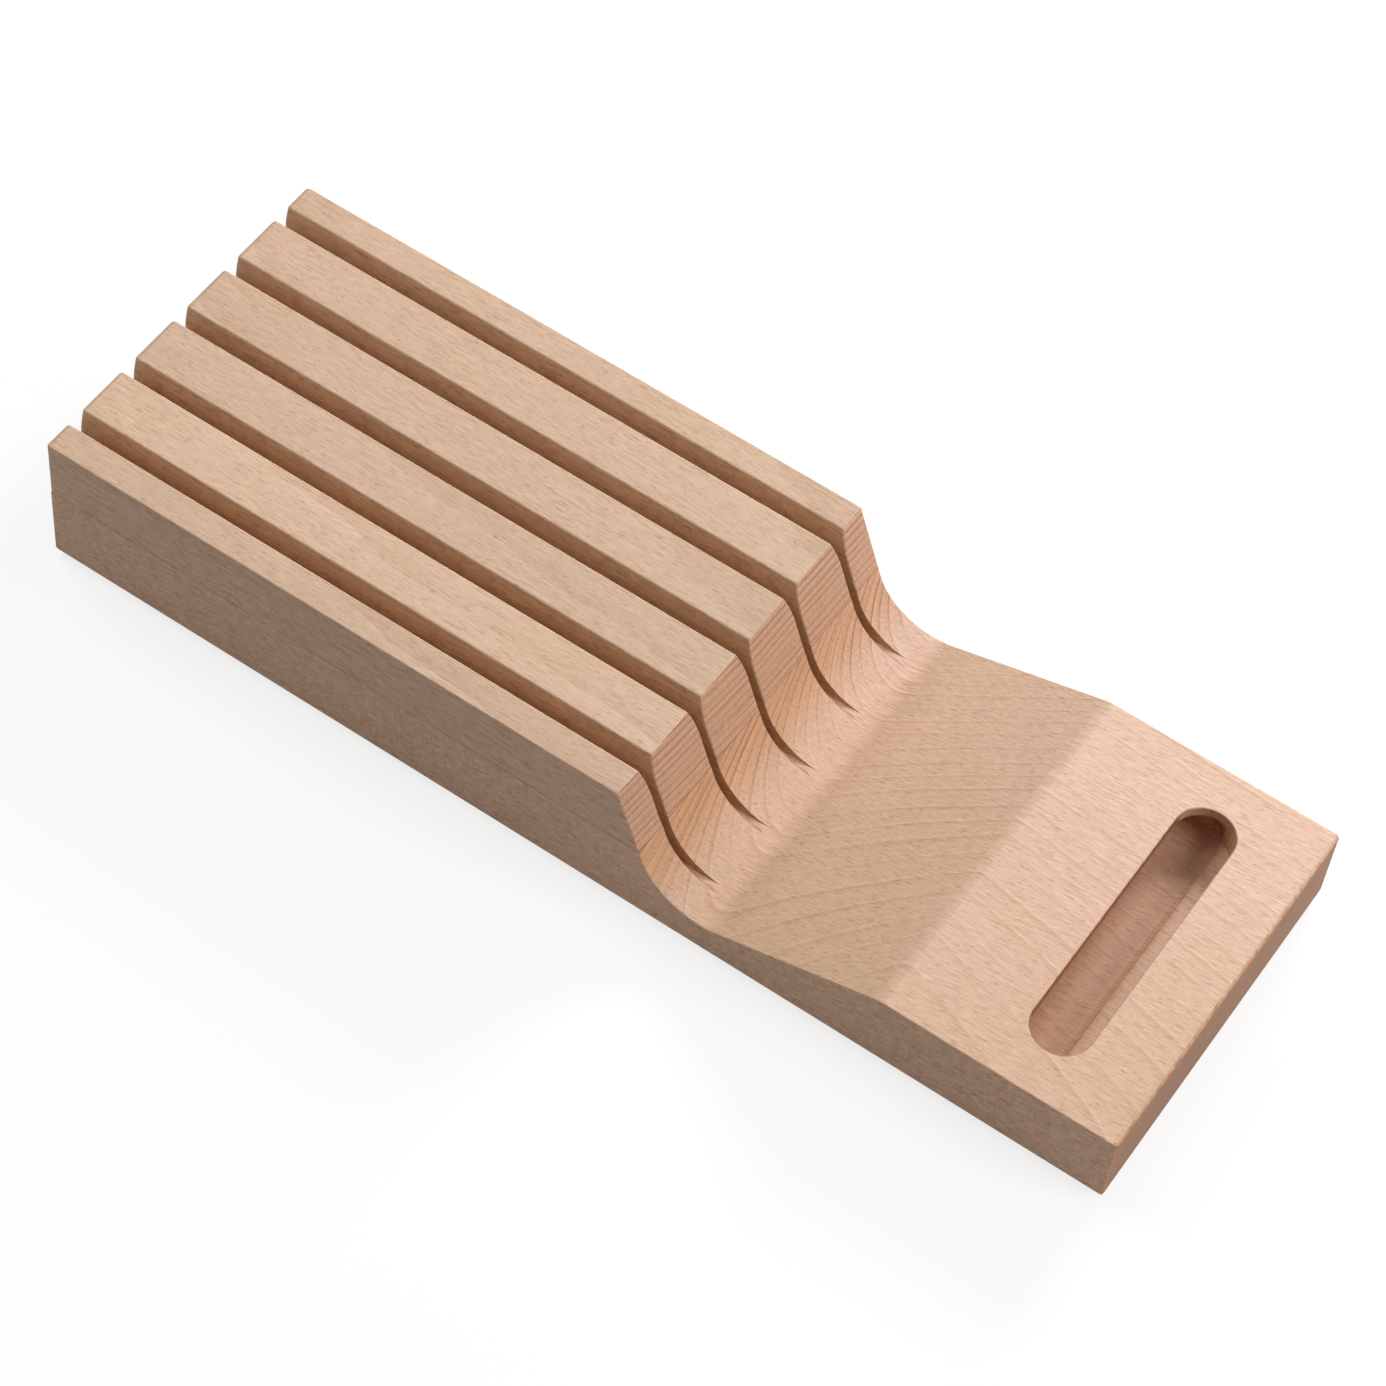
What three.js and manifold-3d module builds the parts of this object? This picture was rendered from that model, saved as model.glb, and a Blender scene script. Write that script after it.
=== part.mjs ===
// Drawer knife block of beech: a long base board, and six rails glued along its back part.
// Five saw kerfs run between the rails and on down into the base board, one for each blade.
// A finger dip crosses the block in front of the rails, and a finger grip is let into the front flat.
// Millimetres, Z up. The block lies along Y, front end at -Y, and stands on Z = 0, centred on the origin.

import * as THREE from 'three';
import * as BufferGeometryUtils from 'three/addons/utils/BufferGeometryUtils.js';
import Module from 'manifold-3d';

const wasm = await Module();
wasm.setup();

// Boards
const blockLength = 400;
const baseThickness = 32;
const railHeight = 24;

// Rails and the kerfs between them
const slotCount = 5;
const kerfWidth = 3.2;
const innerRailWidth = 23.5;
const outerRailWidth = 12.8;
const flareDepth = 11.5;
const flareRadius = 34;

// Finger dip in front of the rails: a steep wall, a round bottom and a long gentle slope
const dipWallTopFromFront = 180.5;
const dipWallAngle = 68.5;
const dipRadius = 24;
const dipSlopeAngle = 17.4;
const dipFloorHeight = 13.2;

// Floor of a kerf: a saw with bevelled teeth leaves it a little deeper along both walls
const kerfFloorAboveDip = 0.4;
const toothMarkDepth = 0.37;
const toothMarkWidth = 0.9;

// Finger grip across the front flat: an oblong pocket with a lip, hollowed out backwards under it
const gripFrontWall = 24.2;
const gripSideWall = 15.45;
const gripWidth = 20.4;
const gripDepth = 14;
const gripStep = 1;
const gripLip = 4;
const gripUndercut = 5.5;
const gripCove = 2.5;

// Eased edges
const railEndEase = 1.5;
const baseEndEase = 1.1;
const bottomRound = 2.5;

// Anti-slip feet
const footHeight = 1.8;
const footDiameter = 12;
const footDraft = 1.2;
const footInset = 20;

// Finish of the pieces
const baseColour = '#dcb892';
const railColour = '#e6c5a2';
const footColour = '#4a4642';
const woodRoughness = 0.62;
const footRoughness = 0.8;

// How finely curves are stepped, and how far a cutter runs past what it cuts. An arc has twice
// as many sides as its steps, and those of an eased section stay longer than the easing.
const arcSteps = 24;
const sectionSteps = 3;
const easeSteps = 3;
const cutterOverrun = 5;

// Levels and widths that follow from the driving dimensions
const degree = Math.PI / 180;
const undersideZ = footHeight;
const seatZ = undersideZ + baseThickness;
const topZ = seatZ + railHeight;
const frontY = -blockLength / 2;
const backY = blockLength / 2;
const slotPitch = innerRailWidth + kerfWidth;
const blockWidth = slotCount * kerfWidth + (slotCount - 1) * innerRailWidth + 2 * outerRailWidth;
const sideX = blockWidth / 2;
const dipFloorZ = undersideZ + dipFloorHeight;
const kerfFloorZ = dipFloorZ + kerfFloorAboveDip;

// Middle of a kerf, counted from 0 at the -X side
function slotX(index) {
  return (index - (slotCount - 1) / 2) * slotPitch;
}

// A closed mesh becomes a solid that can be cut and joined
function toSolid(geometry) {
  const bare = geometry.clone();
  bare.deleteAttribute('normal');
  bare.deleteAttribute('uv');
  const merged = BufferGeometryUtils.mergeVertices(bare, 1e-5);
  const vertProperties = new Float32Array(merged.attributes.position.array);
  const triVerts = new Uint32Array(merged.index.array);
  return new wasm.Manifold(new wasm.Mesh({ numProp: 3, vertProperties, triVerts }));
}

// A solid becomes a three.js geometry again
function toGeometry(solid) {
  const mesh = solid.getMesh();
  const geometry = new THREE.BufferGeometry();
  geometry.setAttribute('position', new THREE.BufferAttribute(new Float32Array(mesh.vertProperties), 3));
  geometry.setIndex(new THREE.BufferAttribute(new Uint32Array(mesh.triVerts), 1));
  geometry.computeVertexNormals();
  return geometry;
}

// Extrudes a section drawn in (X, Z) from startY to endY, with its two ends eased unless ease is 0
function alongY(section, startY, endY, ease) {
  const geometry = new THREE.ExtrudeGeometry(section, {
    depth: endY - startY - 2 * ease,
    bevelEnabled: ease > 0,
    bevelThickness: ease,
    bevelSize: ease,
    bevelOffset: -ease,
    bevelSegments: easeSteps,
    curveSegments: sectionSteps,
  });
  const right = new THREE.Vector3(1, 0, 0);
  const up = new THREE.Vector3(0, 0, 1);
  const forward = new THREE.Vector3(0, -1, 0);
  geometry.applyMatrix4(new THREE.Matrix4().makeBasis(right, up, forward));
  geometry.translate(0, endY - ease, 0);
  return geometry;
}

// Extrudes a profile drawn in (Y, Z) across the block, past both of its sides
function acrossX(profile, halfWidth) {
  const geometry = new THREE.ExtrudeGeometry(profile, {
    depth: 2 * halfWidth,
    bevelEnabled: false,
    curveSegments: arcSteps,
  });
  const across = new THREE.Vector3(0, 1, 0);
  const up = new THREE.Vector3(0, 0, 1);
  const forward = new THREE.Vector3(1, 0, 0);
  geometry.applyMatrix4(new THREE.Matrix4().makeBasis(across, up, forward));
  geometry.translate(-halfWidth, 0, 0);
  return geometry;
}

// An oblong with round ends, long way along X
function oblong(length, width, centreY) {
  const radius = width / 2;
  const reach = length / 2 - radius;
  const shape = new THREE.Shape();
  shape.absarc(reach, centreY, radius, -Math.PI / 2, Math.PI / 2, false);
  shape.absarc(-reach, centreY, radius, Math.PI / 2, 1.5 * Math.PI, false);
  return shape;
}

// The space of the finger dip, open upwards, from the ridge on the front flat to the rails' front
function makeDipCutter() {
  const wall = dipWallAngle * degree;
  const slope = dipSlopeAngle * degree;
  const wallTopY = frontY + dipWallTopFromFront;
  const centreZ = dipFloorZ + dipRadius;
  const centreY = wallTopY - (topZ - centreZ) / Math.tan(wall) - dipRadius / Math.sin(wall);
  const slopeFootY = centreY - dipRadius * Math.sin(slope);
  const slopeFootZ = centreZ - dipRadius * Math.cos(slope);
  const ridgeY = slopeFootY - (seatZ - slopeFootZ) / Math.tan(slope);
  const shape = new THREE.Shape();
  shape.moveTo(ridgeY, topZ + cutterOverrun);
  shape.lineTo(ridgeY, seatZ);
  shape.absarc(centreY, centreZ, dipRadius, -Math.PI / 2 - slope, wall - Math.PI / 2, false);
  shape.lineTo(wallTopY + cutterOverrun / Math.tan(wall), topZ + cutterOverrun);
  const cutter = toSolid(acrossX(shape, sideX + cutterOverrun));
  return { cutter, centreY };
}

const dip = makeDipCutter();

// One saw kerf in the base board, from the bottom of the dip out through the back end
function makeKerfCutter(index) {
  const leftX = slotX(index) - kerfWidth / 2;
  const rightX = slotX(index) + kerfWidth / 2;
  const shape = new THREE.Shape();
  shape.moveTo(leftX, kerfFloorZ - toothMarkDepth);
  shape.lineTo(leftX + toothMarkWidth, kerfFloorZ);
  shape.lineTo(rightX - toothMarkWidth, kerfFloorZ);
  shape.lineTo(rightX, kerfFloorZ - toothMarkDepth);
  shape.lineTo(rightX, seatZ + cutterOverrun);
  shape.lineTo(leftX, seatZ + cutterOverrun);
  return toSolid(alongY(shape, dip.centreY, backY + cutterOverrun, 0));
}

// The finger grip: a straight pocket, and a hollow of the same width that goes a step deeper and
// lies further back, so that it leaves a ledge in front and reaches under the lip behind and beside
function makeGripCutter() {
  const centreY = frontY + gripFrontWall + gripWidth / 2;
  const mouthLength = blockWidth - 2 * gripSideWall;
  const floorZ = seatZ - gripDepth;
  const mouth = new THREE.ExtrudeGeometry(oblong(mouthLength, gripWidth, centreY), {
    depth: gripDepth - gripStep + cutterOverrun,
    bevelEnabled: false,
    curveSegments: arcSteps,
  });
  mouth.translate(0, 0, floorZ + gripStep);
  const hollowLength = mouthLength + 2 * gripUndercut;
  const hollow = new THREE.ExtrudeGeometry(oblong(hollowLength, gripWidth, centreY + gripUndercut), {
    depth: gripDepth - gripLip - 2 * gripCove,
    bevelThickness: gripCove,
    bevelSize: gripCove,
    bevelOffset: -gripCove,
    bevelSegments: easeSteps,
    curveSegments: arcSteps,
  });
  hollow.translate(0, 0, floorZ + gripCove);
  return toSolid(mouth).add(toSolid(hollow));
}

// Section of the base board in (X, Z), with its two lower edges rounded
function baseSection() {
  const shape = new THREE.Shape();
  shape.moveTo(sideX, seatZ);
  shape.lineTo(-sideX, seatZ);
  shape.absarc(-sideX + bottomRound, undersideZ + bottomRound, bottomRound, Math.PI, 1.5 * Math.PI, false);
  shape.absarc(sideX - bottomRound, undersideZ + bottomRound, bottomRound, -Math.PI / 2, 0, false);
  return shape;
}

// Side profile of the base board in (Y, Z), with the lower edges of its two ends rounded
function baseProfile() {
  const shape = new THREE.Shape();
  shape.moveTo(backY, seatZ + cutterOverrun);
  shape.lineTo(frontY, seatZ + cutterOverrun);
  shape.absarc(frontY + bottomRound, undersideZ + bottomRound, bottomRound, Math.PI, 1.5 * Math.PI, false);
  shape.absarc(backY - bottomRound, undersideZ + bottomRound, bottomRound, -Math.PI / 2, 0, false);
  return shape;
}

// The base board: one plank, cut by the dip, the kerfs and the finger grip
function makeBaseBoard() {
  const plank = toSolid(alongY(baseSection(), frontY, backY, baseEndEase));
  const profile = toSolid(acrossX(baseProfile(), sideX + cutterOverrun));
  let board = plank.intersect(profile).subtract(dip.cutter).subtract(makeGripCutter());
  for (let index = 0; index < slotCount; index += 1) {
    board = board.subtract(makeKerfCutter(index));
  }
  return toGeometry(board);
}

// Section of one rail in (X, Z): an outer side is square, and a slot side runs straight up
// the kerf and then leans away from it in a wide arc, so that the mouth of the slot is flared
function railSection(index) {
  const leftX = index === 0 ? -sideX : slotX(index - 1) + kerfWidth / 2;
  const rightX = index === slotCount ? sideX : slotX(index) - kerfWidth / 2;
  const flareZ = topZ - flareDepth;
  const lean = Math.asin(flareDepth / flareRadius);
  const shape = new THREE.Shape();
  shape.moveTo(leftX, seatZ);
  shape.lineTo(rightX, seatZ);
  if (index < slotCount) {
    shape.absarc(rightX - flareRadius, flareZ, flareRadius, 0, lean, false);
  } else {
    shape.lineTo(rightX, topZ);
  }
  if (index > 0) {
    shape.absarc(leftX + flareRadius, flareZ, flareRadius, Math.PI - lean, Math.PI, false);
  } else {
    shape.lineTo(leftX, topZ);
  }
  return shape;
}

// One rail, its back end eased all round and its front end cut by the wall of the dip
function makeRail(index) {
  const bar = toSolid(alongY(railSection(index), dip.centreY, backY, railEndEase));
  return toGeometry(bar.subtract(dip.cutter));
}

// One foot, standing on Z = 0 and a little wider where it is stuck to the board
function makeFoot() {
  const radius = footDiameter / 2;
  const profile = [
    new THREE.Vector2(0, 0),
    new THREE.Vector2(radius - footDraft, 0),
    new THREE.Vector2(radius - footDraft / 3, footHeight / 2),
    new THREE.Vector2(radius, footHeight),
    new THREE.Vector2(0, footHeight),
  ];
  const geometry = new THREE.LatheGeometry(profile, arcSteps);
  const right = new THREE.Vector3(1, 0, 0);
  const up = new THREE.Vector3(0, 0, 1);
  const back = new THREE.Vector3(0, -1, 0);
  geometry.applyMatrix4(new THREE.Matrix4().makeBasis(right, up, back));
  return toGeometry(toSolid(geometry));
}

function addPiece(group, name, geometry, colour, roughness) {
  const material = new THREE.MeshStandardMaterial({ color: colour, roughness, metalness: 0 });
  const mesh = new THREE.Mesh(geometry, material);
  mesh.name = name;
  group.add(mesh);
  return mesh;
}

const knifeBlock = new THREE.Group();
knifeBlock.name = 'drawer_knife_block';

addPiece(knifeBlock, 'base_board', makeBaseBoard(), baseColour, woodRoughness);

for (let index = 0; index <= slotCount; index += 1) {
  addPiece(knifeBlock, `rail_${index + 1}`, makeRail(index), railColour, woodRoughness);
}

const footX = sideX - footInset;
const footY = backY - footInset;
const footSpots = [[-footX, -footY], [footX, -footY], [-footX, footY], [footX, footY]];
footSpots.forEach(([x, y], index) => {
  const foot = addPiece(knifeBlock, `foot_${index + 1}`, makeFoot(), footColour, footRoughness);
  foot.position.set(x, y, 0);
});

export default knifeBlock;
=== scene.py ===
# %% [markdown]
# A drawer knife block in solid beech. It is a base board with a dip and a
# finger grip cut into it, and an upper board glued on top, sawn by five kerfs
# into six rails. Four small rubber feet hold it off the drawer's bottom.
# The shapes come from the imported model. They could be drawn again here, but
# then the two could drift apart. So this script only gives them their
# finish, eases their edges, and sets up the light and the camera.

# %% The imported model
import math

import bpy
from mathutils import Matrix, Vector


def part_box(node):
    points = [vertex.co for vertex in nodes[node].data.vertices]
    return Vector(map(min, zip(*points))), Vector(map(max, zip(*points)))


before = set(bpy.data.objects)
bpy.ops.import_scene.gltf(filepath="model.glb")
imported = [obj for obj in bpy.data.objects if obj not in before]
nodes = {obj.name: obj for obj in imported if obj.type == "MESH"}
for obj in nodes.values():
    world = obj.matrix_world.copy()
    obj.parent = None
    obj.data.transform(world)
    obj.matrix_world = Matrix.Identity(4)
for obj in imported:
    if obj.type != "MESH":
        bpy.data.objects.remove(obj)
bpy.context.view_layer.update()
MM = 0.001
print("pieces:", ", ".join(sorted(nodes)))

# %% [markdown]
# Colours are written as sRGB hex, which is how a colour picker shows them.
# Shaders work with linear light, so one function turns the one into the
# other. Linear numbers could be written straight into the shaders, but
# nobody can read a colour off them.

# %% Colour
def colour(code):
    """The linear colour, with alpha, of an sRGB hex code such as #d8b48e."""
    linear = []
    for start in (1, 3, 5):
        part = int(code[start:start + 2], 16) / 255
        linear.append(part / 12.92 if part <= 0.04045 else ((part + 0.055) / 1.055) ** 2.4)
    return (*linear, 1.0)


print("#808080 in linear light is", round(colour("#808080")[0], 3))

# %% [markdown]
# Node trees get long when each node takes four lines. This helper adds one
# node with its settings, and its inputs are either values or other nodes to
# link. It serves for shader nodes and for geometry nodes alike. The trees
# could be built by hand in the editor, but a script can be read from top to
# bottom and run again.

# %% One node at a time
def add(tree, kind, settings=None, inputs=None, stops=()):
    """Adds a node. An input that is a node is linked from its first output. Stops are
    the places and hex colours of a colour ramp, from left to right."""
    made = tree.nodes.new(kind)
    for key, value in (settings or {}).items():
        setattr(made, key, value)
    for key, value in (inputs or {}).items():
        if isinstance(value, bpy.types.Node):
            value = value.outputs[0]
        if isinstance(value, bpy.types.NodeSocket):
            tree.links.new(value, made.inputs[key])
        else:
            made.inputs[key].default_value = value
    for number, (place, code) in enumerate(stops):
        points = made.color_ramp.elements
        point = points[number] if number < len(points) else points.new(place)
        point.position = place
        point.color = colour(code)
    return made


def new_material(name):
    """An empty material and its node tree."""
    material = bpy.data.materials.new(name)
    material.use_nodes = True
    material.node_tree.nodes.clear()
    return material, material.node_tree


print("helper ready:", add.__name__)

# %% [markdown]
# The wood is drawn with solid noise, which fills space like the wood itself.
# Its fourth number is a seed, so each board gets a draw of its own. Fibres,
# pores and rays are long and thin, so their noise is stretched by their size
# along each axis. A picture of real wood could bring all that too, but it
# would repeat, and it couldn't follow the curved cut of the dip. Some
# features belong to one place only, such as the floor of the grip. A zone
# says where: it is a box with soft sides, in millimetres of the block.

# %% Streaks and zones
SEEDED = {"noise_dimensions": "4D"}
SOFT_ENDS = {"interpolation_type": "SMOOTHSTEP"}
LOW, HIGH = 0.3, 0.7  # Noise hardly ever leaves this range.


def streaks(tree, place, size, seed, detail):
    """Noise stretched to a size, in mm along X, Y and Z."""
    steps = add(tree, "ShaderNodeVectorMath", {"operation": "DIVIDE"},
                {0: place, 1: [side * MM for side in size]})
    return add(tree, "ShaderNodeTexNoise", SEEDED,
               {"Vector": steps, "W": seed, "Scale": 1.0, "Detail": detail})


def zone(tree, place, *sides):
    """1 in a zone and 0 outside. Each side is an axis, where the zone has faded out and
    where it is full, in mm."""
    axes = add(tree, "ShaderNodeSeparateXYZ", inputs={"Vector": place})
    inside = 1.0
    for axis, faded, full in sides:
        side = add(tree, "ShaderNodeMapRange", inputs={
            "Value": axes.outputs[axis], "From Min": faded * MM, "From Max": full * MM})
        inside = add(tree, "ShaderNodeMath", {"operation": "MULTIPLY"}, {0: inside, 1: side})
    return inside


print("helpers ready:", streaks.__name__, "and", zone.__name__)

# %% [markdown]
# Beech has growth rings 1 to 4 mm wide. A ring's place is its distance from
# the pith, so one solid pattern round the pith serves for all faces of a
# board, and each face shows its own cut through it, as in a real board. Flat
# patterns, one for each face, wouldn't meet at the edges. Rings that are
# perfectly round look turned on a lathe, so they wander by about a
# millimetre.

# %% Distance from the pith
WANDER, WANDER_SIZE = 1.6 * MM, 60 * MM


def distance_from_pith(tree, trunk, seed):
    """How far each point is from the trunk's axis, measured along wandering rings."""
    flat = add(tree, "ShaderNodeVectorMath", {"operation": "MULTIPLY"},
               {0: trunk, 1: (1.0, 0.0, 1.0)})
    straight = add(tree, "ShaderNodeVectorMath", {"operation": "LENGTH"}, {0: flat})
    wander = add(tree, "ShaderNodeTexNoise", SEEDED, {
        "Vector": trunk, "W": seed, "Scale": 1 / WANDER_SIZE, "Detail": 2.0})
    return add(tree, "ShaderNodeMath", {"operation": "MULTIPLY_ADD"},
               {0: wander, 1: WANDER, 2: straight.outputs["Value"]})


print("rings wander", WANDER / MM, "mm over", WANDER_SIZE / MM, "mm")

# %% [markdown]
# The year's growth starts pale and ends in a thin dark line. Good years are
# wider than dry ones, some years end in a stronger line, and the lines fade
# in and out over some centimetres. Even stripes would be simpler, but they
# look printed.

# %% Growth rings
WEATHER_PACE = 0.7  # How fast the weather changes, per ring.
WEATHER_SHIFT = 0.7  # How far it can shift a line, in rings.
LINE_START = 0.7  # How far through the year the dark line may start.
FAINTEST_YEAR, FAINTEST_PATCH = 0.55, 0.4
PATCH_SIZE = 28 * MM


def growth(tree, trunk, radius, ring, first_ring, seed):
    """How far through its year each point grew, from 0 to 1, and how strongly that year
    shows."""
    inner = add(tree, "ShaderNodeMath", {"operation": "SUBTRACT"},
                {0: radius, 1: first_ring + WANDER / 2})
    even = add(tree, "ShaderNodeMath", {"operation": "DIVIDE"}, {0: inner, 1: ring})
    weather = add(tree, "ShaderNodeTexNoise", {"noise_dimensions": "1D"},
                  {"W": even, "Scale": WEATHER_PACE, "Detail": 1.0})
    years = add(tree, "ShaderNodeMath", {"operation": "MULTIPLY_ADD"},
                {0: weather, 1: WEATHER_SHIFT, 2: even})
    season = add(tree, "ShaderNodeMath", {"operation": "FRACT"}, {0: years})
    line = add(tree, "ShaderNodeMath", {"operation": "ADD"}, {0: years, 1: 1 - LINE_START})
    which = add(tree, "ShaderNodeMath", {"operation": "FLOOR"}, {0: line})
    chance = add(tree, "ShaderNodeTexWhiteNoise", {"noise_dimensions": "1D"}, {"W": which})
    strong = add(tree, "ShaderNodeMapRange", inputs={
        "Value": chance.outputs["Value"], "To Min": FAINTEST_YEAR, "To Max": 1.0})
    patch = add(tree, "ShaderNodeTexNoise", SEEDED, {
        "Vector": trunk, "W": seed + 7.0, "Scale": 1 / PATCH_SIZE, "Detail": 2.0})
    patch = add(tree, "ShaderNodeMapRange", inputs={
        "Value": patch, "From Min": 0.35, "From Max": 0.65,
        "To Min": FAINTEST_PATCH, "To Max": 1.0})
    shows = add(tree, "ShaderNodeMath", {"operation": "MULTIPLY"}, {0: strong, 1: patch})
    return season, shows


print("the faintest year shows", FAINTEST_YEAR, "of its line")

# %% [markdown]
# Rays are thin sheets of cells that run outwards from the pith. A ray of
# beech is 2 to 4 mm high along the fibres and a few millimetres long
# outwards. Where the surface follows the rings, a ray is cut at its edge and
# shows as a dark dash. Where it follows the rays, it shows as a fleck. Dashes
# could be drawn for one face and flecks for another, but noise counted round
# the pith gives both at once. A real ray is 0.1 to 0.2 mm thick. That is too
# fine for the picture, so it is drawn wider here.

# %% Rays
RAY_SIZE = (0.36, 4.0, 5.5)
RAY_EDGE, RAY_CORE = 0.54, 0.68  # Noise above the first starts a ray.
SWAY, SWAY_SIZE = 1.5 * MM, 5 * MM


def ray_marks(tree, trunk, radius, mean_radius, seed):
    """1 inside a ray, 0 between them."""
    axes = add(tree, "ShaderNodeSeparateXYZ", inputs={"Vector": trunk})
    down = add(tree, "ShaderNodeMath", {"operation": "MULTIPLY"},
               {0: axes.outputs["Z"], 1: -1.0})
    angle = add(tree, "ShaderNodeMath", {"operation": "ARCTAN2"},
                {0: axes.outputs["X"], 1: down})
    arc = add(tree, "ShaderNodeMath", {"operation": "MULTIPLY"}, {0: angle, 1: mean_radius})
    sway = add(tree, "ShaderNodeTexNoise", SEEDED, {
        "Vector": trunk, "W": seed + 3.0, "Scale": 1 / SWAY_SIZE, "Detail": 1.0})
    around = add(tree, "ShaderNodeMath", {"operation": "MULTIPLY_ADD"},
                 {0: sway, 1: SWAY, 2: arc})
    round_pith = add(tree, "ShaderNodeCombineXYZ", inputs={
        "X": around, "Y": axes.outputs["Y"], "Z": radius})
    return add(tree, "ShaderNodeMapRange", SOFT_ENDS, {
        "Value": streaks(tree, round_pith, RAY_SIZE, seed, 1.0),
        "From Min": RAY_EDGE, "From Max": RAY_CORE})


print("a ray is drawn", RAY_SIZE[0], "mm thick and", RAY_SIZE[1], "mm high")

# %% [markdown]
# How a board looks depends on how its surface cuts the fibres. Along them it
# is pale. Across them, on end grain, it drinks the oil and turns darker, and
# the rings show more. Each face could have a material of its own, but the
# dip turns from one look to the other in a curve, so the tones are mixed by
# the slant of the surface to the fibres.

# %% Which way the surface faces
ALONG_FIBRES, ACROSS_BOARD = (0.0, 1.0, 0.0), (1.0, 0.0, 0.0)
SIDE_FROM, SIDE_FULL = 0.6, 0.9


def facing(tree):
    """How far the surface faces backward, from -1 to 1, how squarely it cuts the fibres,
    and whether it is a side."""
    normal = add(tree, "ShaderNodeNewGeometry").outputs["Normal"]
    backward = add(tree, "ShaderNodeVectorMath", {"operation": "DOT_PRODUCT"},
                   {0: normal, 1: ALONG_FIBRES}).outputs["Value"]
    slant = add(tree, "ShaderNodeMath", {"operation": "ABSOLUTE"}, {0: backward})
    right = add(tree, "ShaderNodeVectorMath", {"operation": "DOT_PRODUCT"},
                {0: normal, 1: ACROSS_BOARD}).outputs["Value"]
    either = add(tree, "ShaderNodeMath", {"operation": "ABSOLUTE"}, {0: right})
    sideways = add(tree, "ShaderNodeMapRange", inputs={
        "Value": either, "From Min": SIDE_FROM, "From Max": SIDE_FULL})
    return backward, slant, sideways


print("fibres run along", ALONG_FIBRES)

# %% [markdown]
# Face grain is the wood along the fibres. Its year is pale, with a thin line
# a little darker at its end, and the line is gone soon after the new year
# starts. Surfaces that face backward, as the slope of the dip does, get a
# painted shade, a little darker and warmer, for the light from the front
# that they miss. A wave pattern could draw the lines, but a colour ramp sets
# each place and colour of the year by itself.

# %% Face grain
# Painted shade for surfaces that face backward, such as the slope of the dip.
BACKWARD_SHADE = "#e8e8e2"
SLOPE_SLANT = 0.3  # The sine of the slope's slant.


def face_grain(tree, season, shows, backward, early, middle, late):
    """The tone of wood cut along its fibres, with a painted shade where it faces backward."""
    year = add(tree, "ShaderNodeValToRGB", inputs={"Fac": season}, stops=(
        (0.0, early), (0.04, early), (0.16, middle), (0.76, middle),
        (0.93, late), (0.98, late), (1.0, early)))
    tone = add(tree, "ShaderNodeMix", {"data_type": "RGBA"},
               {"Factor": shows, "A": colour(middle), "B": year})
    # Painted shade, fading in as the surface turns backward up to the slope's slant.
    shaded_backward = add(tree, "ShaderNodeMapRange", SOFT_ENDS, {"Value": backward, "From Max": SLOPE_SLANT})
    return add(tree, "ShaderNodeMix", {"data_type": "RGBA", "blend_type": "MULTIPLY"},
               {"Factor": shaded_backward, "A": tone.outputs["Result"], "B": colour(BACKWARD_SHADE)})


# How much brightness the painted shade on backward-facing surfaces leaves.
print("diving fibres leave", round(colour(BACKWARD_SHADE)[0], 2), "of the brightness")

# %% [markdown]
# End grain shows the same years, darker and with wider lines, and fine lines
# between them where rows of pores lie. The rows are closer than the picture
# can show, so they are drawn 0.7 mm apart. They could be drawn pore by pore,
# but at this size only the rows are seen.

# %% End grain
PORE_ROW = 0.7 * MM
ROW_DARK, ROW_PALE = 0.88, 1.1


def end_grain(tree, season, shows, radius, early, middle, late, seed):
    """The tone of wood cut across its fibres."""
    year = add(tree, "ShaderNodeValToRGB", inputs={"Fac": season}, stops=(
        (0.0, early), (0.3, early), (0.72, middle), (0.9, late), (0.95, late),
        (1.0, early)))
    tone = add(tree, "ShaderNodeMix", {"data_type": "RGBA"},
               {"Factor": shows, "A": colour(early), "B": year})
    outwards = add(tree, "ShaderNodeCombineXYZ", inputs={"X": radius})
    rows = add(tree, "ShaderNodeTexNoise", SEEDED, {
        "Vector": outwards, "W": seed, "Scale": 1 / PORE_ROW, "Detail": 1.0})
    lines = add(tree, "ShaderNodeMapRange", inputs={
        "Value": rows, "From Min": LOW, "From Max": HIGH,
        "To Min": ROW_DARK, "To Max": ROW_PALE})
    return add(tree, "ShaderNodeVectorMath", {"operation": "SCALE"},
               {0: tone.outputs["Result"], "Scale": lines})


print("rows of pores are drawn", PORE_ROW / MM, "mm apart")

# %% [markdown]
# Small dark marks cover the boards: rays, pores, and on the sides of the
# base board, which was sawn nearly along its rays, flecks that stand upright
# like the teeth of a comb. They come in clusters. Bumps alone could draw
# them, but oil darkens the marks, so they are in the colour. Pores are
# really 0.05 mm wide. That is too fine for the picture, so they are drawn
# wider here.

# %% Marks in the wood
PORE_SIZE = (0.4, 3.2, 0.75)
FLECK_SIZE = (8, 1.3, 5)
CLUSTER_SIZE = 14 * MM
RAY_STRENGTH = 0.45


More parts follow.
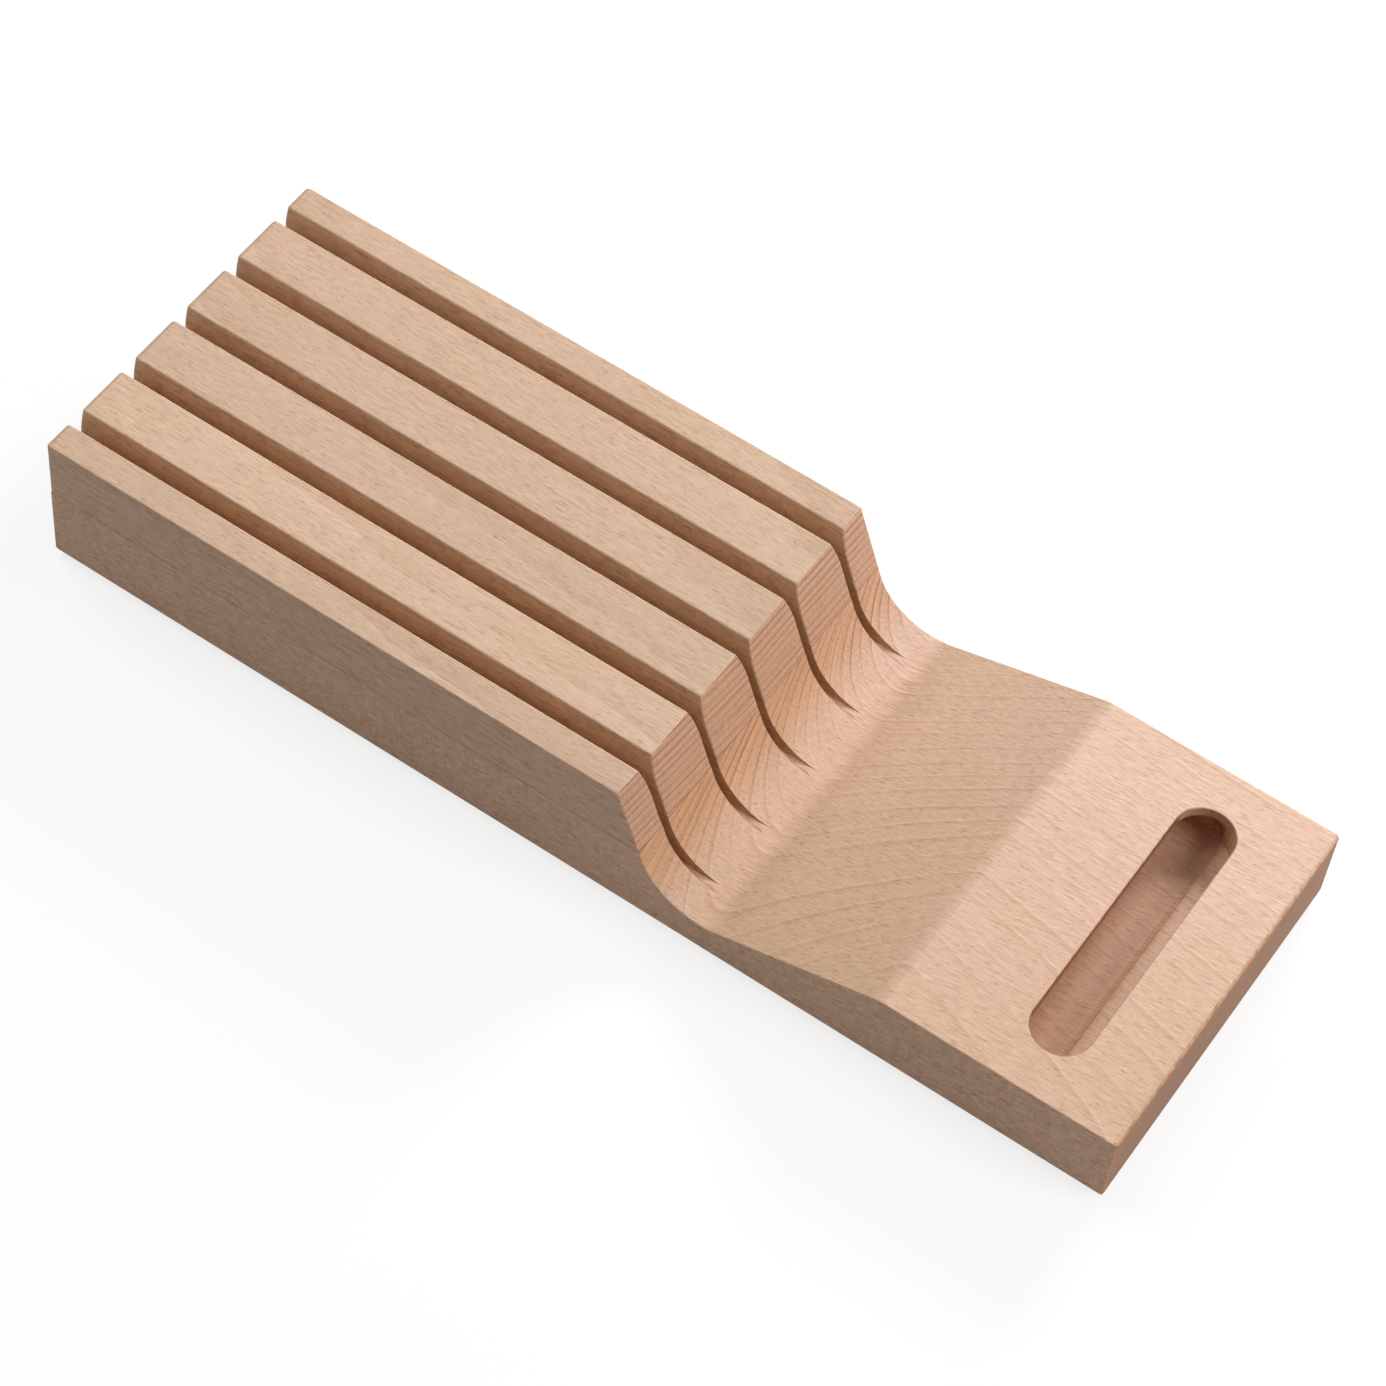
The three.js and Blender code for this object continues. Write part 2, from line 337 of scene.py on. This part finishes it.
def wood_marks(tree, trunk, rays, sideways, figure, seed):
    """How strong the marks are, from 0 to 1. figure is the strength of the flecks."""
    pores = add(tree, "ShaderNodeMapRange", SOFT_ENDS, {
        "Value": streaks(tree, trunk, PORE_SIZE, seed + 2.0, 1.0),
        "From Min": 0.6, "From Max": 0.7})
    dashes = add(tree, "ShaderNodeMath", {"operation": "MULTIPLY"},
                 {0: rays, 1: RAY_STRENGTH})
    marks = add(tree, "ShaderNodeMath", {"operation": "MAXIMUM"}, {0: dashes, 1: pores})
    steps = add(tree, "ShaderNodeVectorMath", {"operation": "DIVIDE"},
                {0: trunk, 1: [side * MM for side in FLECK_SIZE]})
    wavy = add(tree, "ShaderNodeTexNoise", {"noise_dimensions": "3D"}, {
        "Vector": steps, "Scale": 1.0, "Detail": 2.0, "Distortion": 0.8})
    flecks = add(tree, "ShaderNodeMapRange", inputs={
        "Value": wavy, "From Min": 0.48, "From Max": 0.62, "To Max": figure})
    clusters = add(tree, "ShaderNodeTexNoise", SEEDED, {
        "Vector": trunk, "W": seed + 9.0, "Scale": 1 / CLUSTER_SIZE, "Detail": 1.0})
    clusters = add(tree, "ShaderNodeMapRange", inputs={
        "Value": clusters, "From Min": 0.35, "From Max": 0.6, "To Min": 0.35, "To Max": 1.0})
    for limit in (sideways, clusters):
        flecks = add(tree, "ShaderNodeMath", {"operation": "MULTIPLY"}, {0: flecks, 1: limit})
    return add(tree, "ShaderNodeMath", {"operation": "MAXIMUM"}, {0: marks, 1: flecks})


print("pores are drawn", PORE_SIZE[0], "mm wide and flecks", FLECK_SIZE[2], "mm high")

# %% [markdown]
# Work leaves its traces too, and two of them are partly painted shade. A
# square saw cut is darker than a slanting one. The kerf walls get a faint
# warm tint, partly the browning of the blade and partly painted shade for the
# light bounced inside the kerfs. The floor of the grip gets a darker tint,
# partly the cutter's rougher surface and partly painted shade in the hollow,
# and less of it on the ledge at its front, where more light falls. The front
# top edge is worn. They could be painted on by hand, but zones in millimetres
# can be checked against the block. Each trace is a strength from 0 to 1 and a
# colour that the wood's tone is multiplied by.

# %% Traces of work, partly painted shade
BETWEEN_SIDES = (("X", 62, 60), ("X", -62, -60))
GRIP = (("Z", 30.5, 28), ("Y", -143, -145), *BETWEEN_SIDES)
BEHIND_LEDGE, ON_LEDGE = ("Y", -171.5, -170), 0.25
FRONT_ARRIS = ("Y", -198.9, -199.3)
WEAR_SIZE = 2.5 * MM
# The kerf tint and the grip floor tint are partly painted shade.
SQUARE_CUT, SAWN_AND_SHADED, MILLED_AND_SHADED, WORN = "#baaa9a", "#fdfaef", "#f3e8de", "#e9cdb5"


def traces_and_shade(tree, place, slant, sideways, seed):
    """Pairs of a strength and a hex colour, one for each trace of work. Those of the kerf
    walls and of the grip's floor are partly painted shade.
    """
    square_cut = add(tree, "ShaderNodeMapRange", SOFT_ENDS, {
        "Value": slant, "From Min": 0.95, "From Max": 1.0})
    # Kerf walls: partly browned by the blade, partly a painted warm shade for light bounced
    # inside the kerfs.
    sawn_and_shaded = add(tree, "ShaderNodeMath", {"operation": "MULTIPLY"},
               {0: sideways, 1: zone(tree, place, *BETWEEN_SIDES)})
    off_ledge = add(tree, "ShaderNodeMapRange", inputs={
        "Value": zone(tree, place, BEHIND_LEDGE), "To Min": ON_LEDGE, "To Max": 1.0})
    # The grip's floor: partly the cutter's rougher surface, partly painted shade in the
    # hollow, and a quarter of it on the ledge, where more light falls.
    milled_and_shaded = add(tree, "ShaderNodeMath", {"operation": "MULTIPLY"},
                 {0: zone(tree, place, *GRIP), 1: off_ledge})
    rubbed = add(tree, "ShaderNodeTexNoise", SEEDED, {
        "Vector": place, "W": seed, "Scale": 1 / WEAR_SIZE, "Detail": 2.0})
    worn = zone(tree, place, FRONT_ARRIS)
    for value, none, full in ((slant, 0.25, 0.5), (slant, 1.0, 0.9), (rubbed, LOW, HIGH)):
        part = add(tree, "ShaderNodeMapRange", inputs={
            "Value": value, "From Min": none, "From Max": full})
        worn = add(tree, "ShaderNodeMath", {"operation": "MULTIPLY"}, {0: worn, 1: part})
    return (square_cut, SQUARE_CUT), (sawn_and_shaded, SAWN_AND_SHADED), (milled_and_shaded, MILLED_AND_SHADED), (worn, WORN)


# The grip's floor, partly milled and partly painted shade, is tinted up to this height.
print("the grip is burnished up to", GRIP[0][1], "mm")

# %% [markdown]
# Three things change how bright the wood is, and not its colour. Its fibres
# are lighter and darker streaks, and on the sides they show more. The whole
# board drifts a little over some centimetres. And a faint dark line marks
# the glued joint between the boards. The line could be a thin solid of its
# own, but a glue film is too thin to model. Fibres are drawn 0.4 mm wide,
# much coarser than real ones, so that the picture shows them.

# %% Light and dark
FIBRE_SIZE = (0.4, 7, 0.75)
FIBRE_DARK, FIBRE_PALE, ON_SIDES = 0.86, 1.12, 1.35
DRIFT_SIZE = 35 * MM
DRIFT_DARK, DRIFT_PALE = 0.975, 1.025
SEAT = 33.8
JOINT = (("Z", SEAT - 0.4, SEAT - 0.1), ("Z", SEAT + 0.4, SEAT + 0.1), ("Y", -40, -39))
JOINT_TONE = 0.68


def brightness(tree, place, fibres, drift, sideways):
    """How bright the wood is, about 1."""
    streaky = add(tree, "ShaderNodeMapRange", inputs={
        "Value": fibres, "From Min": LOW, "From Max": HIGH,
        "To Min": FIBRE_DARK, "To Max": FIBRE_PALE})
    patchy = add(tree, "ShaderNodeMapRange", inputs={
        "Value": drift, "From Min": LOW, "From Max": HIGH,
        "To Min": DRIFT_DARK, "To Max": DRIFT_PALE})
    bright = add(tree, "ShaderNodeMath", {"operation": "MULTIPLY"}, {0: streaky, 1: patchy})
    coarser = add(tree, "ShaderNodeMapRange", inputs={
        "Value": sideways, "To Min": 1.0, "To Max": ON_SIDES})
    bright = add(tree, "ShaderNodeMath", {"operation": "POWER"}, {0: bright, 1: coarser})
    glue = add(tree, "ShaderNodeMapRange", inputs={
        "Value": zone(tree, place, *JOINT), "To Min": 1.0, "To Max": JOINT_TONE})
    return add(tree, "ShaderNodeMath", {"operation": "MULTIPLY"}, {0: bright, 1: glue})


print("the joint lies", SEAT, "mm up and a fibre is drawn", FIBRE_SIZE[0], "mm wide")

# %% [markdown]
# The block is sanded and oiled beech. Sanding leaves a silky surface that
# the fibres still roughen a little. The oil soaks in and gives a soft, wide
# gloss without a clear reflection, so a layer of varnish on top would be
# wrong. Oil and wood both have an index of refraction near 1.5, wood is no
# metal, and a roughness of 0.5 to 0.62 is usual for it. The gloss is half
# that of a smooth plastic.

# %% Sanded and oiled beech
MARK = "#e6d5c6"
DRIFT_TINTS = ((LOW, "#fffbf5"), (HIGH, "#fff9f8"))
OIL_IOR, HALF_GLOSS = 1.5, 0.27
ROUGH, SILKY = 0.62, 0.5
RELIEF, RAY_DENT = 0.08 * MM, 0.5


def beech(name, pith, lean, ring, first_ring, face, end, seed, figure, side_light_tint, shade_at_minus_x="#ffffff"):
    """pith is a point on the trunk's axis, which leans that much in X and Z for each step
    in Y. face and end hold the early, middle and late colours of a year's growth. figure is
    how much of the flecks shows on the board's sides. The last two colours are painted
    shade: the first tints the board's sides for the light that falls on them, and the second
    is a shade that grows towards -X, away from the key lamp."""
    material, tree = new_material(name)
    place = add(tree, "ShaderNodeTexCoord").outputs["Object"]
    trunk = add(tree, "ShaderNodeMapping", {"vector_type": "TEXTURE"}, {
        "Vector": place, "Location": pith,
        "Rotation": (math.atan(lean[1]), 0.0, -math.atan(lean[0]))})
    radius = distance_from_pith(tree, trunk, seed)
    season, shows = growth(tree, trunk, radius, ring, first_ring, seed)
    rays = ray_marks(tree, trunk, radius, first_ring, seed)
    fibres = streaks(tree, trunk, FIBRE_SIZE, seed, 2.0)
    drift = add(tree, "ShaderNodeTexNoise", SEEDED, {
        "Vector": trunk, "W": seed + 5.0, "Scale": 1 / DRIFT_SIZE, "Detail": 3.0})
    backward, slant, sideways = facing(tree)

    across = add(tree, "ShaderNodeMapRange", SOFT_ENDS, {
        "Value": slant, "From Min": 0.3, "From Max": 0.9})
    tone = add(tree, "ShaderNodeMix", {"data_type": "RGBA"}, {
        "Factor": across,
        "A": face_grain(tree, season, shows, backward, *face).outputs["Result"],
        "B": end_grain(tree, season, shows, radius, *end, seed)}).outputs["Result"]
    # Painted shade that grows towards -X, away from the key lamp, kept off the sides.
    shade_at_minus_x_mask = add(tree, "ShaderNodeMath", {"operation": "SUBTRACT"},
                     {0: zone(tree, place, ("X", 60, -60)), 1: sideways})
    marks = wood_marks(tree, trunk, rays, sideways, figure, seed)
    drift_tint = add(tree, "ShaderNodeValToRGB", inputs={"Fac": drift}, stops=DRIFT_TINTS)
    tone = add(tree, "ShaderNodeMix", {"data_type": "RGBA", "blend_type": "MULTIPLY"},
               {"Factor": 1.0, "A": tone, "B": drift_tint}).outputs["Result"]
    # The first two tints are painted shade, on the -X part and on the sides.
    for strength, code in ((shade_at_minus_x_mask, shade_at_minus_x), (sideways, side_light_tint), (marks, MARK),
                           *traces_and_shade(tree, place, slant, sideways, seed)):
        tone = add(tree, "ShaderNodeMix", {"data_type": "RGBA", "blend_type": "MULTIPLY"},
                   {"Factor": strength, "A": tone, "B": colour(code)}).outputs["Result"]
    shade = add(tree, "ShaderNodeVectorMath", {"operation": "SCALE"},
                {0: tone, "Scale": brightness(tree, place, fibres, drift, sideways)})

    relief = add(tree, "ShaderNodeMath", {"operation": "MULTIPLY_ADD"},
                 {0: rays, 1: -RAY_DENT, 2: fibres})
    bump = add(tree, "ShaderNodeBump", inputs={
        "Height": relief, "Strength": 0.3, "Distance": RELIEF})
    rough = add(tree, "ShaderNodeMapRange", inputs={
        "Value": fibres, "From Min": LOW, "From Max": HIGH,
        "To Min": ROUGH, "To Max": SILKY})
    surface = add(tree, "ShaderNodeBsdfPrincipled", inputs={
        "Base Color": shade, "Roughness": rough, "Normal": bump,
        "IOR": OIL_IOR, "Specular IOR Level": HALF_GLOSS})
    add(tree, "ShaderNodeOutputMaterial", inputs={"Surface": surface})
    print(name, "has rings", round(ring / MM, 1), "mm wide")
    return material


# %% [markdown]
# The base board was sawn well away from the pith, which lies 300 mm above
# it and leans, so its rings sweep across the dip and the front flat. Rings
# at random places would be wood too, but the pith was worked out from the
# lines that the block shows.

# %% Base board
base_wood = beech("sanded and oiled beech, base board",
                  pith=(-0.1191, -0.050, 0.3083), lean=(-0.0863, -0.0956),
                  ring=2.97 * MM, first_ring=291.0 * MM,
                  face=("#f3d5c2", "#eccbb6", "#e1bba5"),
                  end=("#e5b796", "#dbac8c", "#ac7c60"), seed=1.0, figure=0.5,
                  # The last two colours are painted shade, on the sides and towards -X.
                  side_light_tint="#f0ece0", shade_at_minus_x="#f6f4ec")
nodes["base_board"].material_slots[0].material = base_wood

# %% [markdown]
# The rails are six strips of the upper board, between and beside the kerfs.
# Their rings lie nearly level, with the pith 450 mm up, and tilt a little
# more in the first three. One material could serve them all, but strips of
# wood differ, so each gets a seed of its own, and the second is paler.

# %% Rails
STRIP = ("#dcc2a9", "#d8bca3", "#d1b39a")
PALE_STRIP = ("#e5cab0", "#e0c3a9", "#d9baa0")

for number in range(1, 7):
    low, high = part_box(f"rail_{number}")
    tilt = 0.096 if number <= 3 else 0.03
    wood = beech(f"sanded and oiled beech, rail {number}",
                 pith=((low.x + high.x) / 2 + tilt * 0.4, 0.0, 0.45),
                 lean=(0.004 * (number - 3), 0.01),
                 ring=2.6 * MM, first_ring=380 * MM,
                 face=PALE_STRIP if number == 2 else STRIP,
                 end=("#dbb295", "#cea488", "#9f755b"), seed=10.0 + number,
                 # A painted warm tint on the rails' sides, for the light that falls on them.
                 figure=0.12, side_light_tint="#fff8f3")
    nodes[f"rail_{number}"].material_slots[0].material = wood

# %% [markdown]
# The feet are thermoplastic rubber, moulded and matt. The mould's etched
# wall leaves a pebble of about 0.4 mm on them, and they pick up a little
# dust. The pebble could be modelled, but at this size a bump looks the same.
# Rubber reflects about as much as most plastics, with an index of
# refraction of 1.5, but its rough skin spreads the light wide.

# %% Feet
PEBBLE, DUST = 0.4 * MM, 5 * MM
foot_rubber, tree = new_material("moulded thermoplastic rubber, matt")
place = add(tree, "ShaderNodeTexCoord").outputs["Object"]
pebble = add(tree, "ShaderNodeTexNoise", inputs={
    "Vector": place, "Scale": 1 / PEBBLE, "Detail": 2.0})
dust = add(tree, "ShaderNodeTexNoise", inputs={
    "Vector": place, "Scale": 1 / DUST, "Detail": 3.0})
shade = add(tree, "ShaderNodeValToRGB", inputs={"Fac": dust},
            stops=((0.35, "#2c2926"), (0.7, "#403c37")))
bump = add(tree, "ShaderNodeBump", inputs={
    "Height": pebble, "Strength": 0.4, "Distance": 0.05 * MM})
surface = add(tree, "ShaderNodeBsdfPrincipled", inputs={
    "Base Color": shade, "Roughness": 0.75, "Normal": bump,
    "IOR": 1.5, "Specular IOR Level": 0.4})
add(tree, "ShaderNodeOutputMaterial", inputs={"Surface": surface})
for number in range(1, 5):
    nodes[f"foot_{number}"].material_slots[0].material = foot_rubber
print("feet:", foot_rubber.name)

# %% [markdown]
# Sanding takes the sharpness off every arris. Rounded edges could be
# modelled in the solids, but as a modifier a bevel can be changed at any
# time. It needs to know which edges to ease. Picking them by hand takes
# long, so geometry nodes find them by their angle and their place.

# %% Finding edges
CRISP = math.radians(14)


def geometry_group(name):
    """A geometry node tree, and its input node."""
    tree = bpy.data.node_groups.new(name, "GeometryNodeTree")
    for way in ("INPUT", "OUTPUT"):
        tree.interface.new_socket("Geometry", in_out=way, socket_type="NodeSocketGeometry")
    return tree, add(tree, "NodeGroupInput")


def crisp_edges(tree):
    """True on edges that are sharp."""
    angle = add(tree, "GeometryNodeInputMeshEdgeAngle")
    return add(tree, "FunctionNodeCompare",
               {"data_type": "FLOAT", "operation": "GREATER_THAN"},
               {"A": angle.outputs["Unsigned Angle"], "B": CRISP})


def edges_within(tree, *limits):
    """True on edges whose middles lie within all the limits, each an axis and two places
    in mm."""
    middle = add(tree, "GeometryNodeInputPosition")
    at = add(tree, "ShaderNodeSeparateXYZ", inputs={"Vector": middle})
    within = True
    for axis, least, most in limits:
        for operation, bound in (("GREATER_THAN", least), ("LESS_THAN", most)):
            test = add(tree, "FunctionNodeCompare",
                       {"data_type": "FLOAT", "operation": operation},
                       {"A": at.outputs[axis], "B": bound * MM})
            within = add(tree, "FunctionNodeBooleanMath", {"operation": "AND"},
                         {0: within, 1: test})
    return within


print("edges sharper than", round(math.degrees(CRISP)), "degrees are crisp")

# %% [markdown]
# Most arrises are eased a little, the worn one along the front more, and
# the ridge between the front flat and the slope most. The joint between the
# two boards was sanded as one surface, so its edges aren't eased, and
# neither are the inner edges, which stay as the cutter left them. One width
# for all would be simpler, but would lose the worn look. So each edge holds
# a weight: its share of the widest bevel.

# %% How much to ease each edge
MOST_EDGES, FRONT_EDGE, RIDGE = 0.18, 0.45, 1.0
LEVEL_WITH_JOINT = ("Z", SEAT - 0.2, SEAT + 0.2)

weights, start = geometry_group("edges to ease")
glued = edges_within(weights, LEVEL_WITH_JOINT, ("Y", -60, 1000))
inner = edges_within(weights, ("X", -62, 62), ("Z", 5, SEAT - 0.2))
kept = add(weights, "FunctionNodeBooleanMath", {"operation": "OR"}, {0: glued, 1: inner})
free = add(weights, "FunctionNodeBooleanMath", {"operation": "NIMPLY"},
           {0: crisp_edges(weights), 1: kept})
share = MOST_EDGES
for more, span in ((FRONT_EDGE, ("Y", -1000, -199)), (RIDGE, ("Y", -118, -115))):
    share = add(weights, "GeometryNodeSwitch", {"input_type": "FLOAT"}, {
        "Switch": edges_within(weights, LEVEL_WITH_JOINT, span), "False": share, "True": more})
weight = add(weights, "ShaderNodeMath", {"operation": "MULTIPLY"}, {0: share, 1: free})
marked = add(weights, "GeometryNodeStoreNamedAttribute",
             {"data_type": "FLOAT", "domain": "EDGE"},
             {"Geometry": start, "Name": "bevel_weight_edge", "Value": weight})
add(weights, "NodeGroupOutput", inputs={"Geometry": marked})
print("shares of the widest bevel:", MOST_EDGES, FRONT_EDGE, RIDGE)

# %% [markdown]
# The solids come as triangles. Each board's triangles are joined into whole
# faces first, or the bevel would follow every one of them. Then faces that
# meet at a small angle get smooth shading, the marked edges are eased, and
# the flat faces keep their own direction, or light would smear over them.
# All of it could be done to the mesh itself, but with modifiers the board
# stays as it was made.

# %% Eased edges
WOOD_EASE, FOOT_EASE = 2.0 * MM, 1.1 * MM
shading, start = geometry_group("smooth over soft edges")
soft = add(shading, "GeometryNodeSetMeshNormal", {"mode": "SHARPNESS"}, {
    "Mesh": start, "Remove Custom": True,
    "Edge Sharpness": crisp_edges(shading), "Face Sharpness": False})
add(shading, "NodeGroupOutput", inputs={"Geometry": soft})

for name, piece in nodes.items():
    weld = piece.modifiers.new("join corners", "WELD")
    weld.merge_threshold = 0.001 * MM
    planar = piece.modifiers.new("whole faces", "DECIMATE")
    planar.decimate_type = "DISSOLVE"
    planar.angle_limit = math.radians(0.5)
    piece.modifiers.new("smooth over soft edges", "NODES").node_group = shading
    piece.modifiers.new("edges to ease", "NODES").node_group = weights
    ease = piece.modifiers.new("eased edges", "BEVEL")
    ease.width = FOOT_EASE if name.startswith("foot") else WOOD_EASE
    ease.segments = 2
    ease.limit_method = "WEIGHT"
    ease.use_clamp_overlap = False
    normals = piece.modifiers.new("flat faces stay flat", "WEIGHTED_NORMAL")
    normals.mode = "FACE_AREA"
    normals.keep_sharp = True
    shape = piece.evaluated_get(bpy.context.evaluated_depsgraph_get()).data
    print(name, "has", len(shape.polygons), "faces")

# %% [markdown]
# The block stands on a pale floor in a softly lit studio. For the block the
# floor is a white table that sends light back. For the camera it is mostly
# glow, so that it reads as white and still shows the block's shadow. The
# glow grows with the distance, because the lamps reach less of the floor
# there. More light would turn the floor white too, but the wood with it.

# %% Floor
NEAR, FAR = 0.35, 0.9
GLOW_NEAR, GLOW_FAR = 0.8, 1.0


def seen_directly(tree):
    """1 for what the camera sees, also in a gloss or through glass, and 0 for light on
    the block."""
    ray = add(tree, "ShaderNodeLightPath")
    seen = ray.outputs["Is Camera Ray"]
    for other in ("Is Glossy Ray", "Is Transmission Ray"):
        seen = add(tree, "ShaderNodeMath", {"operation": "MAXIMUM"},
                   {0: seen, 1: ray.outputs[other]})
    return seen


pale_floor, tree = new_material("matt pale floor")
seen = seen_directly(tree)
paper = add(tree, "ShaderNodeMix", {"data_type": "RGBA"},
            {"Factor": seen, "A": colour("#e6e5e4"), "B": colour("#8a8a8a")})
paper = add(tree, "ShaderNodeBsdfDiffuse", inputs={"Color": paper.outputs["Result"]})
place = add(tree, "ShaderNodeTexCoord").outputs["Object"]
away = add(tree, "ShaderNodeVectorMath", {"operation": "LENGTH"}, {0: place})
level = add(tree, "ShaderNodeMapRange", inputs={
    "Value": away.outputs["Value"], "From Min": NEAR, "From Max": FAR,
    "To Min": GLOW_NEAR, "To Max": GLOW_FAR})
glow = add(tree, "ShaderNodeMath", {"operation": "MULTIPLY"}, {0: seen, 1: level})
glow = add(tree, "ShaderNodeEmission", inputs={"Color": colour("#ffffff"), "Strength": glow})
both = add(tree, "ShaderNodeAddShader", inputs={0: paper, 1: glow})
add(tree, "ShaderNodeOutputMaterial", inputs={"Surface": both})

bpy.ops.mesh.primitive_plane_add(size=12.0, location=(0, 0, -0.05 * MM))
floor = bpy.context.object
floor.name = "studio_floor"
floor.data.materials.append(pale_floor)
print("floor:", floor.name, "with its full glow", FAR, "m away")

# %% [markdown]
# The air round the block glows faintly from all sides and fills the shadows.
# More lamps could do that, but each would cast a shadow of its own. Seen
# directly the air is white, like the paper of a catalogue.

# %% Air
FAINT = 0.11
scene = bpy.context.scene
air = bpy.data.worlds.new("pale studio")
scene.world = air
air.use_nodes = True
air.node_tree.nodes.clear()
level = add(air.node_tree, "ShaderNodeMapRange", inputs={
    "Value": seen_directly(air.node_tree), "To Min": FAINT, "To Max": 1.0})
white = add(air.node_tree, "ShaderNodeBackground", inputs={
    "Color": colour("#ffffff"), "Strength": level})
add(air.node_tree, "ShaderNodeOutputWorld", inputs={"Surface": white})
print("air:", air.name, FAINT)

# %% [markdown]
# Three soft boxes light the block. They are as strong as lets a colour come
# out about as it is written. The key stands low on the right, where it
# lights the walls of the kerfs and leaves the far end of the grip in shadow.
# One in front lights the end grain, and one behind lights the slope of the
# dip. Small lamps would do as well, but their shadows have hard edges.

# %% Lamps
AIM = Vector((0.0, -0.05, 0.03))
DISTANCE = 1.15
SOFTBOXES = (  # Name, degrees round from +X, degrees up, width in m, watts.
    ("key, right", -3, 30, 0.36, 9.4),
    ("front", -80, 38, 0.5, 5.2),
    ("fill, behind", 90, 50, 0.5, 4.7))

for name, azimuth, elevation, width, watts in SOFTBOXES:
    around, up = math.radians(azimuth), math.radians(elevation)
    way = Vector((math.cos(around) * math.cos(up), math.sin(around) * math.cos(up),
                  math.sin(up)))
    light = bpy.data.lights.new(name, "AREA")
    light.size = width
    light.energy = watts
    softbox = bpy.data.objects.new(name, light)
    scene.collection.objects.link(softbox)
    softbox.location = AIM + way * DISTANCE
    softbox.rotation_euler = (-way).to_track_quat("-Z", "Y").to_euler()
    print(name, "at", [round(part, 2) for part in softbox.location], watts, "W")

# %% [markdown]
# The camera looks down at the block at 55 degrees, from in front and to the
# left, with a long lens and a slight roll. A long lens from further away
# keeps the rails nearly parallel, where a short one would splay them.

# %% Camera
CAMERA_PLACE = Vector((-0.6778, -0.3715, 1.1298))
CAMERA_AIM = Vector((-0.0034, -0.0060, 0.0250))
FOCAL_LENGTH, ROLL = 110.77, math.radians(6.985)
lens = bpy.data.cameras.new("long lens")
lens.sensor_width = 36.0
lens.lens = FOCAL_LENGTH
camera = bpy.data.objects.new("camera", lens)
scene.collection.objects.link(camera)
camera.location = CAMERA_PLACE
camera.rotation_euler = (CAMERA_AIM - CAMERA_PLACE).to_track_quat("-Z", "Y").to_euler()
camera.rotation_euler.rotate_axis("Z", ROLL)
scene.camera = camera
scene.view_settings.view_transform = "Standard"
print("camera", round((CAMERA_AIM - CAMERA_PLACE).length, 3), "m away")
